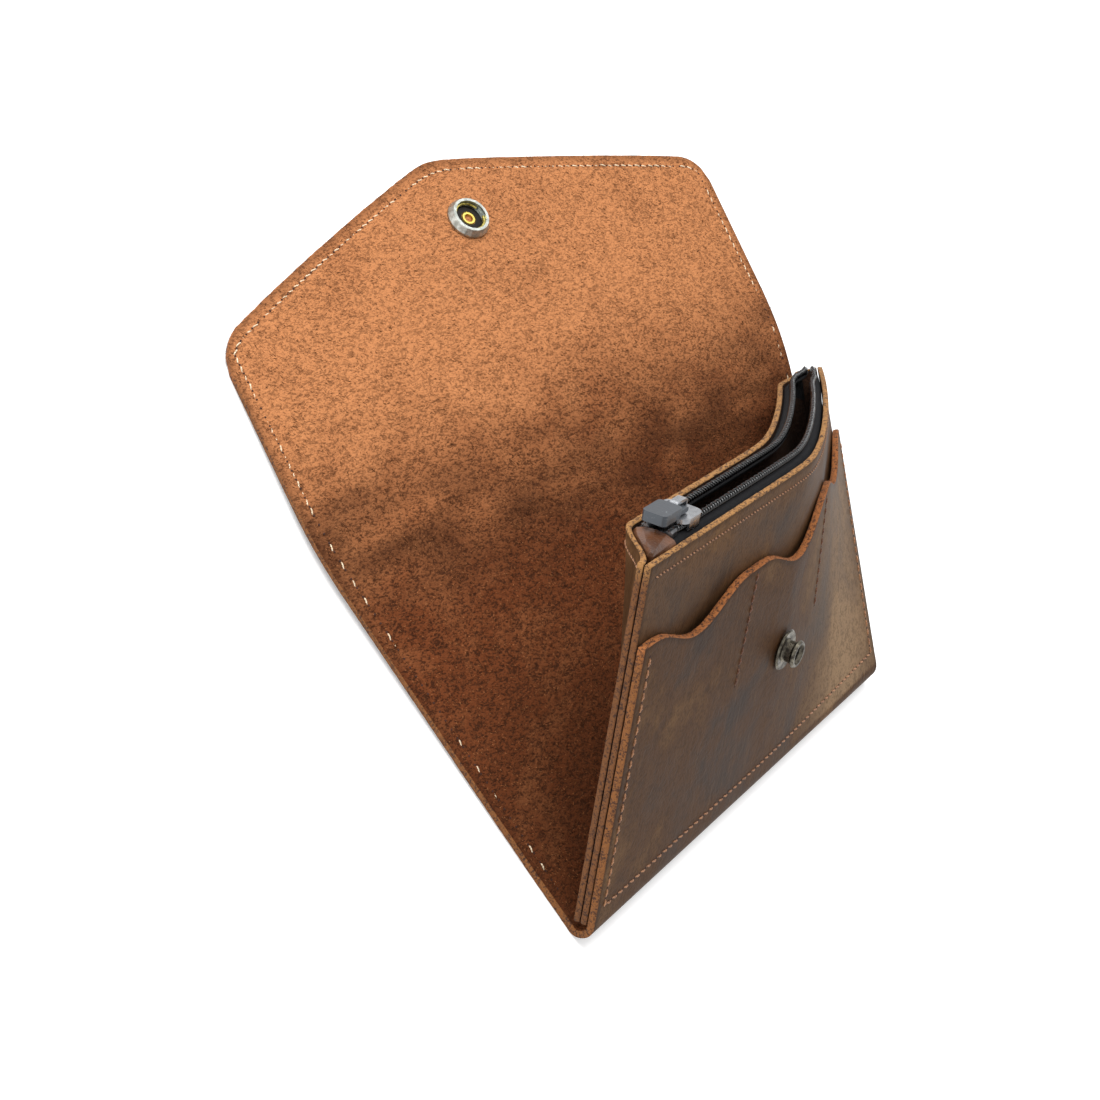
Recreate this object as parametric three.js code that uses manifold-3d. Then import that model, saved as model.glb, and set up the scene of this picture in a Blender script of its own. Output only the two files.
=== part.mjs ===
// An open envelope wallet of thick pull-up leather, lying on its back with its mouth gaping.
// One sheet makes the card pocket, the bottom fold, the back and the pointed flap. A zip pouch
// is sewn inside the pocket, and a snap on the flap's point closes on a stud on the pocket.
// Units are millimetres. X runs along the bottom fold, Y from the fold to the flap, Z is up,
// and the origin is the middle of the flat on which the fold rests.
import * as THREE from 'three';
import { mergeVertices } from 'three/addons/utils/BufferGeometryUtils.js';
import Module from 'manifold-3d';

// Driving sizes of the leather
const wallet_width = 186;
const sheet_thickness = 1.9;
const pouch_leather = 1.6;
const back_height = 110;
const flap_side = 58;
const flap_rise = 26.7;
const flap_corner_radius = 8;
const flap_point_softness = 5;
const crease_length = 26;
const pocket_height = 76.5;
const pouch_height = 96.4;
const pouch_mouth = 12.6;
const slot_count = 3;
const slot_clearance = 1.1;
const scoop_depth = 7;
const scoop_half_width = 26;
const fold_radius = 4.3;
const fold_flat = 3;
const seam_gap = 0.3;

// How far each stretch is raised from the table, in degrees, at the left end, middle and right
const stack_rise = 49;
const stack_droop = 22;
const stack_bend_start = 0.5;
const back_rise = [1, 17.2, 25.2];
const back_splay = [2.3, 1.2, 4];
const flap_tilt = [-1.8, -4.3, 5.4];
const flap_splay = [-13.4, -4, -7.5];

// Driving sizes of the zip
const row_spacing = 6.2;
const coil_width = 1.9;
const coil_height = 1.8;
const coil_pitch = 2.2;
const tape_thickness = 0.6;
const tape_lap = 8;
const zip_start = 17;
const zip_end_margin = 8;
const end_tab_start = 4.5;
const stop_length = 3;
const slider_position = 27;
const slider_length = 10;
const slider_plate = 1.1;
const slider_wall = 0.6;
const slider_clearance = 0.3;
const bridge_width = 2.2;
const bridge_length = 6;
const bridge_height = 2.9;
const bridge_bar = 0.8;
const pull_bar_radius = 0.6;
const pull_reach = 3.9;
const pull_length = 9;
const pull_width = 6.4;
const pull_thickness = 2.6;
const pull_clearance = 0.35;

// Driving sizes of the snap
const socket_from_point = 20;
const stud_height = 42;
const cap_radius = 6.4;
const cap_rise = 1.8;
const socket_radius = 6.3;
const socket_rise = 2.4;
const socket_bore = 4.1;
const spring_wire = 0.4;
const stud_base_radius = 5.9;
const stud_neck_radius = 3.1;
const stud_head_radius = 4;
const stud_rise = 4.6;
const post_radius = 1.9;
const post_bore = 1.3;
const eyelet_radius = 3.8;
const eyelet_flange = 0.4;
const metal_gap = 0.3;
const round_steps = 20;

const wasm = await Module();
wasm.setup();

const degrees = THREE.MathUtils.degToRad;
const clamp = THREE.MathUtils.clamp;
const smooth = THREE.MathUtils.smoothstep;

// A smooth value across the width from the ones at its left end, middle and right end
function across(values, t) {
  const left = values[0] * (1 - t) * (1 - 2 * t);
  const middle = values[1] * 4 * t * (1 - t);
  const right = values[2] * t * (2 * t - 1);
  return left + middle + right;
}

// A unit vector from the fold towards the flap, raised and turned sideways by angles in degrees
function heading(rise, splay) {
  const flat = Math.cos(degrees(rise));
  const side = -Math.sin(degrees(splay)) * flat;
  return new THREE.Vector3(side, Math.cos(degrees(splay)) * flat, Math.sin(degrees(rise)));
}

// The pocket and pouch stand straight up to the bend, then lean back to the right end
function stackRise(t) {
  const bend = Math.max(0, t - stack_bend_start) / (1 - stack_bend_start);
  return stack_rise - stack_droop * bend ** 1.25;
}

function stackDirection(t) {
  return heading(stackRise(t), 0);
}

function stackNormal(t) {
  const rise = degrees(stackRise(t));
  return new THREE.Vector3(0, -Math.sin(rise), Math.cos(rise));
}

const fold_centre_height = Math.sqrt(fold_radius ** 2 - (fold_flat / 2) ** 2);

function foldCentre(t) {
  return new THREE.Vector3((t - 0.5) * wallet_width, 0, fold_centre_height);
}

// A point of the stack: up from the fold, and inwards from the pocket's outer face
function stackPoint(t, up, inward) {
  const point = foldCentre(t);
  point.addScaledVector(stackDirection(t), up);
  point.addScaledVector(stackNormal(t), fold_radius - inward);
  return point;
}

// The three thumb scoops in the pocket's top edge
function pocketTop(t) {
  const slot_width = wallet_width / slot_count;
  const place = ((t * slot_count) % 1) - 0.5;
  const reach = Math.abs(place * slot_width) / scoop_half_width;
  const dip = reach < 1 ? 0.5 + 0.5 * Math.cos(Math.PI * reach) : 0;
  return pocket_height - scoop_depth * dip;
}

// The flap's length: a pentagon with a soft point and rounded shoulders
function flapLength(t) {
  const from_middle = Math.abs(t - 0.5) * wallet_width;
  const softened = Math.hypot(from_middle, flap_point_softness) - flap_point_softness;
  const point = flap_side + flap_rise * (1 - softened / (wallet_width / 2));
  const into_corner = clamp(flap_corner_radius - (wallet_width / 2 - from_middle), 0, flap_corner_radius);
  return point - flap_corner_radius + Math.sqrt(flap_corner_radius ** 2 - into_corner ** 2);
}

// The back, and the flap beyond it, as one line that bends softly at the crease
function backPoint(t, along) {
  const back = heading(across(back_rise, t), across(back_splay, t));
  const flap = heading(across(flap_tilt, t), across(flap_splay, t));
  const back_normal = new THREE.Vector3(0, back.z, -back.y).normalize();
  const point = foldCentre(t).addScaledVector(back_normal, fold_radius);
  const bend_start = back_height - crease_length / 2;
  point.addScaledVector(back, Math.min(along, bend_start));
  const bent = clamp((along - bend_start) / crease_length, 0, 1);
  point.addScaledVector(back, crease_length * (bent - bent ** 2 / 2));
  point.addScaledVector(flap, crease_length * bent ** 2 / 2);
  point.addScaledVector(flap, Math.max(0, along - bend_start - crease_length));
  return point;
}

// The outer face of the fold, turning from the pocket round to the back
function foldPoint(t, turn) {
  const start = Math.PI / 2 + degrees(stackRise(t));
  const back = heading(across(back_rise, t), across(back_splay, t));
  const end = Math.PI * 1.5 + Math.atan2(back.z, back.y);
  const angle = start + (end - start) * turn;
  const point = foldCentre(t);
  point.y += fold_radius * Math.cos(angle);
  point.z += fold_radius * Math.sin(angle);
  return point;
}

// A closed mesh from its points and faces, turned to face outwards
function closedGeometry(points, faces) {
  let volume = 0;
  for (const [a, b, c] of faces) {
    volume += points[a].dot(points[b].clone().cross(points[c]));
  }
  const index = faces.flatMap(([a, b, c]) => (volume < 0 ? [a, c, b] : [a, b, c]));
  const geometry = new THREE.BufferGeometry();
  const positions = points.flatMap((point) => [point.x, point.y, point.z]);
  geometry.setAttribute('position', new THREE.Float32BufferAttribute(positions, 3));
  geometry.setIndex(index);
  return geometry;
}

// A solid between two faces that are given as grids of points with the same size
function shellBetween(outer, inner) {
  const columns = outer.length;
  const rows = outer[0].length;
  const points = [...outer.flat(), ...inner.flat()];
  const faces = [];
  const at = (side, i, j) => (side * columns + i) * rows + j;
  const quad = (a, b, c, d) => faces.push([a, b, c], [a, c, d]);
  for (let i = 0; i < columns - 1; i += 1) {
    for (let j = 0; j < rows - 1; j += 1) {
      quad(at(0, i, j), at(0, i + 1, j), at(0, i + 1, j + 1), at(0, i, j + 1));
      quad(at(1, i, j), at(1, i, j + 1), at(1, i + 1, j + 1), at(1, i + 1, j));
    }
    quad(at(0, i, 0), at(1, i, 0), at(1, i + 1, 0), at(0, i + 1, 0));
    quad(at(0, i, rows - 1), at(0, i + 1, rows - 1), at(1, i + 1, rows - 1), at(1, i, rows - 1));
  }
  for (let j = 0; j < rows - 1; j += 1) {
    quad(at(0, 0, j), at(0, 0, j + 1), at(1, 0, j + 1), at(1, 0, j));
    quad(at(0, columns - 1, j), at(1, columns - 1, j), at(1, columns - 1, j + 1), at(0, columns - 1, j + 1));
  }
  return closedGeometry(points, faces);
}

// A closed solid swept through a list of rings, each a list of points
function loftRings(rings) {
  const size = rings[0].length;
  const points = rings.flat();
  const faces = [];
  for (let i = 0; i < rings.length - 1; i += 1) {
    for (let j = 0; j < size; j += 1) {
      const k = (j + 1) % size;
      const [a, b, c, d] = [i * size + j, i * size + k, (i + 1) * size + k, (i + 1) * size + j];
      faces.push([a, b, c], [a, c, d]);
    }
  }
  const last = (rings.length - 1) * size;
  for (let j = 1; j < size - 1; j += 1) {
    faces.push([0, j + 1, j], [last, last + j, last + j + 1]);
  }
  return closedGeometry(points, faces);
}

// The inner face of a sheet, one thickness in from its outer face
function offsetGrid(outer, thickness) {
  const columns = outer.length;
  const rows = outer[0].length;
  return outer.map((column, i) => column.map((point, j) => {
    const along = outer[Math.min(i + 1, columns - 1)][j].clone().sub(outer[Math.max(i - 1, 0)][j]);
    const up = column[Math.min(j + 1, rows - 1)].clone().sub(column[Math.max(j - 1, 0)]);
    return point.clone().addScaledVector(along.cross(up).normalize(), thickness);
  }));
}

function spread(from, to, steps) {
  return Array.from({ length: steps + 1 }, (unused, i) => from + ((to - from) * i) / steps);
}

// Columns across the width, closer together at the rounded shoulders
function columnPlaces(steps) {
  const corner = flap_corner_radius / wallet_width;
  const eased = [0, 0.12, 0.4, 0.7].map((share) => share * corner);
  return [...eased, ...spread(corner, 1 - corner, steps), ...eased.toReversed().map((share) => 1 - share)];
}

function toSolid(geometry) {
  const bare = geometry.clone();
  bare.deleteAttribute('normal');
  bare.deleteAttribute('uv');
  const merged = mergeVertices(bare, 1e-5);
  const vertProperties = new Float32Array(merged.attributes.position.array);
  const triVerts = new Uint32Array(merged.index.array);
  return new wasm.Manifold(new wasm.Mesh({ numProp: 3, vertProperties, triVerts }));
}

function fromSolid(solid) {
  const mesh = solid.getMesh();
  const geometry = new THREE.BufferGeometry();
  geometry.setAttribute('position', new THREE.Float32BufferAttribute(mesh.vertProperties, 3));
  geometry.setIndex(Array.from(mesh.triVerts));
  return geometry;
}

function turned(profile) {
  const points = profile.map(([radius, height]) => new THREE.Vector2(radius, height));
  return new THREE.LatheGeometry(points, round_steps).rotateX(Math.PI / 2);
}

// Outline points of a profile that goes once round a hollow turned piece
function ring(profile) {
  return turned([...profile, profile[0]]);
}

// Where the two halves of the snap sit, as a place and the way out of the leather
const socket_along = back_height + flap_side + flap_rise - socket_from_point;

function faceFrame(pointAt, t, along) {
  const place = pointAt(t, along);
  const right = pointAt(t + 0.02, along).sub(pointAt(t - 0.02, along));
  const up = pointAt(t, along + 2).sub(pointAt(t, along - 2));
  return { place, normal: right.cross(up).normalize() };
}

// The back's points are on the sheet's outer face, and this normal points into the wallet
const flap_frame = faceFrame(backPoint, 0.5, socket_along);
const stud_frame = {
  place: stackPoint(0.5, stud_height, 0),
  normal: stackNormal(0.5),
};

function placed(mesh, place, normal, lift) {
  mesh.quaternion.setFromUnitVectors(new THREE.Vector3(0, 0, 1), normal);
  mesh.position.copy(place).addScaledVector(normal, lift);
  return mesh;
}

function leather(color) {
  return new THREE.MeshStandardMaterial({ color, roughness: 0.75, metalness: 0 });
}

function metal(color, roughness) {
  return new THREE.MeshStandardMaterial({ color, roughness, metalness: 1 });
}

const wallet = new THREE.Group();

function add(name, geometry, material) {
  const mesh = new THREE.Mesh(geometry, material);
  mesh.name = name;
  wallet.add(mesh);
  return mesh;
}

// The sheet: pocket front, bottom fold, back and flap in one piece
function outerShell() {
  const front_steps = 6;
  const fold_steps = 7;
  const back_steps = 18;
  const outer = columnPlaces(32).map((t) => {
    const pocket = spread(pocketTop(t), 0, front_steps).map((up) => stackPoint(t, up, 0));
    const fold = spread(0, 1, fold_steps).slice(1, -1).map((turn) => foldPoint(t, turn));
    const full = back_height + flapLength(t);
    const back = spread(0, full, back_steps).map((along) => backPoint(t, along));
    return [...pocket, ...fold, ...back];
  });
  const inner = offsetGrid(outer, sheet_thickness);
  for (const point of outer.flat()) {
    point.z = Math.max(point.z, 0);
  }
  for (const point of inner.flat()) {
    point.z = Math.max(point.z, sheet_thickness);
  }
  let solid = toSolid(shellBetween(outer, inner));
  const drill = new THREE.CylinderGeometry(1, 1, 4 * sheet_thickness, round_steps).rotateX(Math.PI / 2);
  for (const frame of [flap_frame, stud_frame]) {
    const hole = new THREE.Mesh(drill.clone());
    placed(hole, frame.place, frame.normal, 0);
    hole.scale.set(post_radius + metal_gap, post_radius + metal_gap, 1);
    hole.updateMatrixWorld();
    solid = solid.subtract(toSolid(hole.geometry.applyMatrix4(hole.matrixWorld)));
  }
  return fromSolid(solid);
}

add('outer_shell', outerShell(), leather(0x6e4a30));

// The pouch: how far its front lies behind the pocket's face, and how wide it gapes
function pouchDepth(t, up) {
  const place = ((t * slot_count) % 1) - 0.5;
  const inside_pocket = smooth(up, 8, 40) * (1 - smooth(up, pocket_height - 10, pouch_height - tape_lap));
  const swell = Math.cos(Math.PI * place) ** 2 * inside_pocket * (1 - smooth(t, 0.97, 1));
  return sheet_thickness + seam_gap + slot_clearance * swell;
}

function pouchGape(t, up) {
  const shut = 0.5 * smooth(t, 0.84, 0.965) + 0.5 * smooth(t, 0.965, 1);
  const open = smooth(t, 0, 0.1) * (1 - shut);
  const height = Math.min(1, up / pouch_height);
  return seam_gap + (pouch_mouth - seam_gap) * open * height ** 1.5;
}

// The panels and the zip share their columns, and the tapes' lower edge is one of the rows
const zip_from = zip_start / wallet_width;
const zip_to = 1 - zip_end_margin / wallet_width;
const tape_foot = pouch_height - tape_lap;
const zip_columns = spread(zip_from, zip_to, 26);

function pouchPanel(inset) {
  const places = [...spread(0, zip_from, 5).slice(0, -1), ...zip_columns, ...spread(zip_to, 1, 3).slice(1)];
  const heights = [...spread(0.4, tape_foot, 7), pouch_height];
  const grid = (extra) => places.map((t) => heights.map((up) => stackPoint(t, up, inset(t, up) + extra)));
  return shellBetween(grid(0), grid(pouch_leather));
}

function pouchBackDepth(t, up) {
  return pouchDepth(t, up) + pouch_leather + pouchGape(t, up);
}

add('pouch_front_panel', pouchPanel(pouchDepth), leather(0x7a5236));
add('pouch_back_panel', pouchPanel(pouchBackDepth), leather(0x7a5236));

// The zip: each tape is sewn inside a panel's top edge, and carries its row on its free edge
const mouth_level = pouch_height;

function mouthEdges(t) {
  const front = pouchDepth(t, pouch_height) + pouch_leather;
  return { front, back: front + pouchGape(t, pouch_height) };
}

// Half the distance between the rows, which close in where the pouch narrows
function rowOffset(t) {
  const { front, back } = mouthEdges(t);
  const room = (back - front) / 2 - coil_width / 2 - tape_thickness - 2 * seam_gap;
  return Math.min(row_spacing / 2, Math.max(coil_width / 2 + seam_gap, room));
}

function rowDepth(t, side) {
  const { front, back } = mouthEdges(t);
  return (front + back) / 2 + side * rowOffset(t);
}

function zipTape(side) {
  const outer = [];
  const inner = [];
  for (const t of zip_columns) {
    const { front, back } = mouthEdges(t);
    const wall = side < 0 ? front : back;
    const row = rowDepth(t, side) - side * (coil_width / 2);
    const lap = wall - side * seam_gap;
    const lap_end = lap - side * tape_thickness;
    const low = mouth_level - tape_thickness;
    const foot_wall = side < 0 ? pouchDepth(t, tape_foot) + pouch_leather : pouchBackDepth(t, tape_foot);
    const drift = (up) => (foot_wall - wall) * (pouch_height - up) / tape_lap;
    outer.push([
      stackPoint(t, tape_foot, lap + drift(tape_foot)),
      stackPoint(t, mouth_level - 1.4, lap + drift(mouth_level - 1.4)),
      stackPoint(t, mouth_level - 0.3, lap - side * 0.4),
      stackPoint(t, mouth_level, lap - side * 1.4),
      stackPoint(t, mouth_level, row),
    ]);
    inner.push([
      stackPoint(t, tape_foot, lap_end + drift(tape_foot)),
      stackPoint(t, mouth_level - 1.9, lap_end + drift(mouth_level - 1.9)),
      stackPoint(t, low - 0.35, lap_end - side * 0.25),
      stackPoint(t, low, lap_end - side * 0.9),
      stackPoint(t, low, row),
    ]);
  }
  return shellBetween(outer, inner);
}

// A row of the nylon coil, as a bar whose turns show as ridges
function zipRow(side) {
  const turns = Math.round(((zip_to - zip_from) * wallet_width - 2 * stop_length) / coil_pitch);
  const margin = (stop_length + metal_gap) / wallet_width;
  const rings = spread(zip_from + margin, zip_to - margin, turns * 2).map((t, i) => {
    const size = i % 2 === 0 ? 1 : 0.72;
    const middle = rowDepth(t, side);
    const level = mouth_level + seam_gap + coil_height / 2;
    return spread(0, 1, 6).slice(0, -1).map((share) => {
      const angle = 2 * Math.PI * share;
      const out = (coil_width / 2) * size * Math.cos(angle);
      return stackPoint(t, level + (coil_height / 2) * size * Math.sin(angle), middle + out);
    });
  });
  return loftRings(rings);
}

// A small clamp at the end of a row
function rowStop(t_start, side) {
  const rings = spread(t_start, t_start + stop_length / wallet_width, 2).map((t) => {
    const middle = rowDepth(t, side);
    const half = coil_width / 2;
    const bottom = mouth_level + seam_gap;
    const top = bottom + coil_height;
    return [
      stackPoint(t, bottom, middle - half),
      stackPoint(t, top - 0.5, middle - half),
      stackPoint(t, top, middle - half + 0.5),
      stackPoint(t, top, middle + half - 0.5),
      stackPoint(t, top - 0.5, middle + half),
      stackPoint(t, bottom, middle + half),
    ];
  });
  return loftRings(rings);
}

const tape_black = new THREE.MeshStandardMaterial({ color: 0x17181a, roughness: 0.9, metalness: 0 });
const coil_black = new THREE.MeshStandardMaterial({ color: 0x101114, roughness: 0.3, metalness: 0 });
const top_stop_start = zip_to - stop_length / wallet_width;

for (const [label, side] of [['front', -1], ['back', 1]]) {
  add(`zipper_tape_${label}`, zipTape(side), tape_black);
  add(`zipper_coil_${label}`, zipRow(side), coil_black);
  add(`zipper_top_stop_${label}`, rowStop(top_stop_start, side), metal(0x9c9d9e, 0.35));
  add(`zipper_bottom_stop_${label}`, rowStop(zip_from, side), metal(0x9c9d9e, 0.35));
}

// The leather tab folded over the left end of the zip, between the two panels
function endTab() {
  const from = end_tab_start / wallet_width;
  const to = zip_from - seam_gap / wallet_width;
  const rings = spread(from, to, 5).map((t) => {
    const { front, back } = mouthEdges(t);
    const near = front + seam_gap;
    const far = back - seam_gap;
    const half = (far - near) / 2;
    const squeeze = (up) => (pouchGape(t, pouch_height) - pouchGape(t, up));
    const crown = spread(0, Math.PI, 6).map((angle) => {
      return stackPoint(t, pouch_height - 0.6 + 2.2 * Math.sin(angle), near + half * (1 - Math.cos(angle)));
    });
    return [stackPoint(t, tape_foot, near), ...crown, stackPoint(t, tape_foot, far - squeeze(tape_foot))];
  });
  return loftRings(rings);
}

add('zipper_end_tab', endTab(), leather(0xa8713f));

// A plate with rounded ends, lying flat with its bottom at the given height
function plate(length, width, corner, bottom, thickness) {
  const shape = new THREE.Shape();
  const [x, y] = [length / 2, width / 2];
  shape.moveTo(-x + corner, -y);
  shape.lineTo(x - corner, -y);
  shape.absarc(x - corner, -y + corner, corner, -Math.PI / 2, 0);
  shape.lineTo(x, y - corner);
  shape.absarc(x - corner, y - corner, corner, 0, Math.PI / 2);
  shape.lineTo(-x + corner, y);
  shape.absarc(-x + corner, y - corner, corner, Math.PI / 2, Math.PI);
  shape.lineTo(-x, -y + corner);
  shape.absarc(-x + corner, -y + corner, corner, Math.PI, Math.PI * 1.5);
  const geometry = new THREE.ExtrudeGeometry(shape, { depth: thickness, bevelEnabled: false, curveSegments: 4 });
  return geometry.translate(0, 0, bottom);
}

function block(length, width, height, x, y, bottom) {
  return new THREE.BoxGeometry(length, width, height).translate(x, y, bottom + height / 2);
}

// The slider in its own frame: x along the zip, y across it, z out of the mouth, 0 at mouth_level
const channel_half = row_spacing / 2 + coil_width / 2 + slider_clearance;
const slider_half = channel_half + slider_wall;
const ceiling = seam_gap + coil_height + slider_clearance;
const floor_level = -tape_thickness - slider_clearance;
const slider_top = ceiling + slider_plate;
const hinge_height = slider_top + slider_clearance + pull_bar_radius;

function sliderBody() {
  const wall_drop = ceiling - slider_clearance;
  const post_half = row_spacing / 2 - coil_width / 2 - slider_clearance;
  const arch = new THREE.Shape();
  const [half, high] = [bridge_length / 2, bridge_height];
  arch.moveTo(-half, 0);
  arch.lineTo(-half, high * 0.55);
  arch.quadraticCurveTo(-half, high, -half * 0.4, high);
  arch.lineTo(half * 0.4, high);
  arch.quadraticCurveTo(half, high, half, high * 0.55);
  arch.lineTo(half, 0);
  arch.lineTo(half - bridge_bar, 0);
  arch.lineTo(half - bridge_bar, high - bridge_bar);
  arch.lineTo(-half + bridge_bar, high - bridge_bar);
  arch.lineTo(-half + bridge_bar, 0);
  const bridge = new THREE.ExtrudeGeometry(arch, { depth: bridge_width, bevelEnabled: false, curveSegments: 4 });
  bridge.rotateX(Math.PI / 2).translate(0, bridge_width / 2, slider_top - 0.05);
  const front = -slider_length / 2 + 1.2;
  const pieces = [
    plate(slider_length, 2 * slider_half, 2.4, ceiling, slider_plate),
    plate(slider_length, 2 * slider_half, 2.4, floor_level - slider_plate, slider_plate),
    block(2.2, 2 * post_half, ceiling - floor_level + 0.2, front, 0, floor_level - 0.1),
    bridge,
  ];
  for (const side of [-1, 1]) {
    const y = side * (slider_half - slider_wall / 2);
    pieces.push(block(slider_length - 4.8, slider_wall, wall_drop, 0, y, ceiling - wall_drop + 0.1));
  }
  return fromSolid(pieces.map(toSolid).reduce((whole, piece) => whole.add(piece)));
}

// The pull: a crossbar under the bridge, two arms beside it and a thick grip, flat towards the left
function pullTab() {
  const arm_gap = bridge_width + 2 * pull_clearance;
  const arm_width = (pull_width - arm_gap) / 2 - 0.6;
  const bar_length = arm_gap + 2 * arm_width;
  const bar = new THREE.CylinderGeometry(pull_bar_radius, pull_bar_radius, bar_length, 12);
  const grip = plate(pull_length, pull_width, 1.1, -pull_bar_radius, pull_thickness);
  grip.translate(-pull_reach - pull_length / 2, 0, 0);
  const pieces = [bar, grip];
  for (const side of [-1, 1]) {
    const y = side * (arm_gap + arm_width) / 2;
    const length = pull_reach + 0.4;
    pieces.push(block(length, arm_width, 2 * pull_bar_radius, -length / 2, y, -pull_bar_radius));
  }
  return fromSolid(pieces.map(toSolid).reduce((whole, piece) => whole.add(piece)));
}

function onZip(mesh, height) {
  const t = slider_position / wallet_width;
  const { front, back } = mouthEdges(t);
  mesh.position.copy(stackPoint(t, mouth_level + height, (front + back) / 2));
  mesh.rotation.x = degrees(stackRise(t) - 90);
}

onZip(add('zipper_slider_body', sliderBody(), metal(0x9a9b9d, 0.3)), 0);
const pull_paint = new THREE.MeshStandardMaterial({ color: 0x3d4448, roughness: 0.45, metalness: 0.3 });
onZip(add('zipper_pull_tab', pullTab(), pull_paint), hinge_height);

// The snap. Heights are from the sheet's inner face on the flap, and its outer face on the pocket.
const bore = post_bore;

function snapCap() {
  const skin = -sheet_thickness - metal_gap;
  const profile = [
    [0, skin - cap_rise],
    [cap_radius * 0.55, skin - cap_rise * 0.85],
    [cap_radius * 0.9, skin - cap_rise * 0.4],
    [cap_radius, skin],
    [post_radius, skin],
    [post_radius, 0.9],
    [bore, 0.9],
    [bore, skin],
    [0, skin],
  ];
  return turned(profile);
}

function snapSocket() {
  const foot = metal_gap;
  return ring([
    [post_radius + metal_gap, foot],
    [socket_radius, foot],
    [socket_radius, foot + 0.6],
    [socket_radius - 0.9, foot + socket_rise],
    [socket_bore + 0.5, foot + socket_rise],
    [socket_bore + 0.5, foot + socket_rise - 0.6],
    [socket_bore + 1, foot + socket_rise - 0.6],
    [socket_bore + 1, foot + 0.5],
    [post_radius + metal_gap, foot + 0.5],
  ]);
}

// A split ring of wire that grips the stud's head
function socketSpring() {
  const gap_angle = 0.35;
  const radius = socket_bore + 0.2;
  const level = metal_gap + 0.5 + metal_gap + spring_wire;
  const rings = spread(gap_angle, 2 * Math.PI - gap_angle, 22).map((turn) => {
    return spread(0, 1, 6).slice(0, -1).map((share) => {
      const angle = 2 * Math.PI * share;
      const reach = radius + spring_wire * Math.cos(angle);
      const height = level + spring_wire * Math.sin(angle);
      return new THREE.Vector3(reach * Math.cos(turn), reach * Math.sin(turn), height);
    });
  });
  return loftRings(rings);
}

function snapStud() {
  const foot = metal_gap;
  return ring([
    [post_radius + metal_gap, foot],
    [stud_base_radius - 0.5, foot],
    [stud_base_radius, foot + 0.4],
    [stud_base_radius - 0.4, foot + 0.9],
    [stud_neck_radius + 0.5, foot + 0.8],
    [stud_neck_radius, foot + 1.4],
    [stud_neck_radius, foot + stud_rise - 1.6],
    [stud_head_radius, foot + stud_rise - 0.8],
    [stud_head_radius - 0.4, foot + stud_rise],
    [stud_head_radius - 1, foot + stud_rise],
    [stud_neck_radius - 0.7, foot + stud_rise - 1],
    [post_radius + metal_gap, foot + 1],
  ]);
}

function studEyelet() {
  const inner_face = -sheet_thickness - 1.5 * metal_gap;
  return ring([
    [bore, inner_face - eyelet_flange],
    [eyelet_radius, inner_face - eyelet_flange],
    [eyelet_radius, inner_face],
    [post_radius, inner_face],
    [post_radius, 1.6],
    [bore, 1.6],
  ]);
}

const nickel = metal(0xb0b2b0, 0.35);
const brass = metal(0xc9a94f, 0.3);
const gunmetal = metal(0x3a3632, 0.4);

const flap_lift = sheet_thickness;
for (const [name, geometry, material] of [
  ['snap_cap', snapCap(), gunmetal],
  ['snap_socket', snapSocket(), nickel],
  ['socket_spring', socketSpring(), brass],
]) {
  placed(add(name, geometry, material), flap_frame.place, flap_frame.normal, flap_lift);
}
for (const [name, geometry, material] of [
  ['snap_stud', snapStud(), gunmetal],
  ['stud_eyelet', studEyelet(), brass],
]) {
  placed(add(name, geometry, material), stud_frame.place, stud_frame.normal, 0);
}

export default wallet;
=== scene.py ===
"""A leather card wallet that lies open on its back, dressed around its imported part. Sizes are in metres."""

import math

import bpy
import numpy as np
from mathutils import Matrix, Vector


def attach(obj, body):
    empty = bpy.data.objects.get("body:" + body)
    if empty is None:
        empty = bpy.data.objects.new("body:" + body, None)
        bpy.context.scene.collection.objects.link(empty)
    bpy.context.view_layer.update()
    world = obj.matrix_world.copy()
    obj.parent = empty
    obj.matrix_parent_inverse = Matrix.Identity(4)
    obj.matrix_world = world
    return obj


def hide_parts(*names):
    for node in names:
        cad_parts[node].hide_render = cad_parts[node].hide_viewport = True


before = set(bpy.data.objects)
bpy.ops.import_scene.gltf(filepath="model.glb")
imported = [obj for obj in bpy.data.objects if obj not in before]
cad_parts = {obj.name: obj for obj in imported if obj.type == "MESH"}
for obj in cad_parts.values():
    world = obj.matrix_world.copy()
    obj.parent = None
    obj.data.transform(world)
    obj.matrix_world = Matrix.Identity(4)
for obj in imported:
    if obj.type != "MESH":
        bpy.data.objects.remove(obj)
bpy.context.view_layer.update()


# The folded sheet.
# One piece of waxed cowhide makes the back, the flap and the card pockets: smooth outside, suede inside.
# It is cut with a scoop over each card slot, folded up at the bottom and creased where the flap begins.
wallet_width = 0.186
sheet_thickness = 0.0019
back_height = 0.110
flap_side = 0.058
flap_rise = 0.0267
flap_corner_radius = 0.008
flap_point_softness = 0.005
crease_length = 0.026
pocket_height = 0.0765
slot_count = 3
scoop_depth = 0.007
scoop_half_width = 0.026
fold_radius = 0.0043
fold_flat = 0.003
fold_height = math.sqrt(fold_radius**2 - (fold_flat / 2) ** 2)
stack_rise = 49
stack_droop = 22
stack_bend_start = 0.5
stack_bend_power = 1.25
stack_bend_softness = 0.08
back_rise = (1, 17.2, 25.2)
back_splay = (2.3, 1.2, 4)
flap_tilt = (-1.8, -4.3, 5.4)
flap_splay = (-13.4, -4, -7.5)
sheet_columns = 150
flap_rows = 150
fold_rows = 12
pocket_rows = 66
flap_seam_inset = 0.0032
fold_length = 0.012
crease_wrinkle = 0.00035
crease_reach = 0.016
crease_wander = 0.018
wrinkle_size = 0.012
wrinkle_closeness = 3.5
suede_unevenness = 0.0002
broad_bump = 0.020
small_bump = 0.006
flat_near_fold = 0.03
flat_near_edge = 0.006
seam_channel_depth = 0.00015
seam_channel_width = 0.0009


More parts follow.
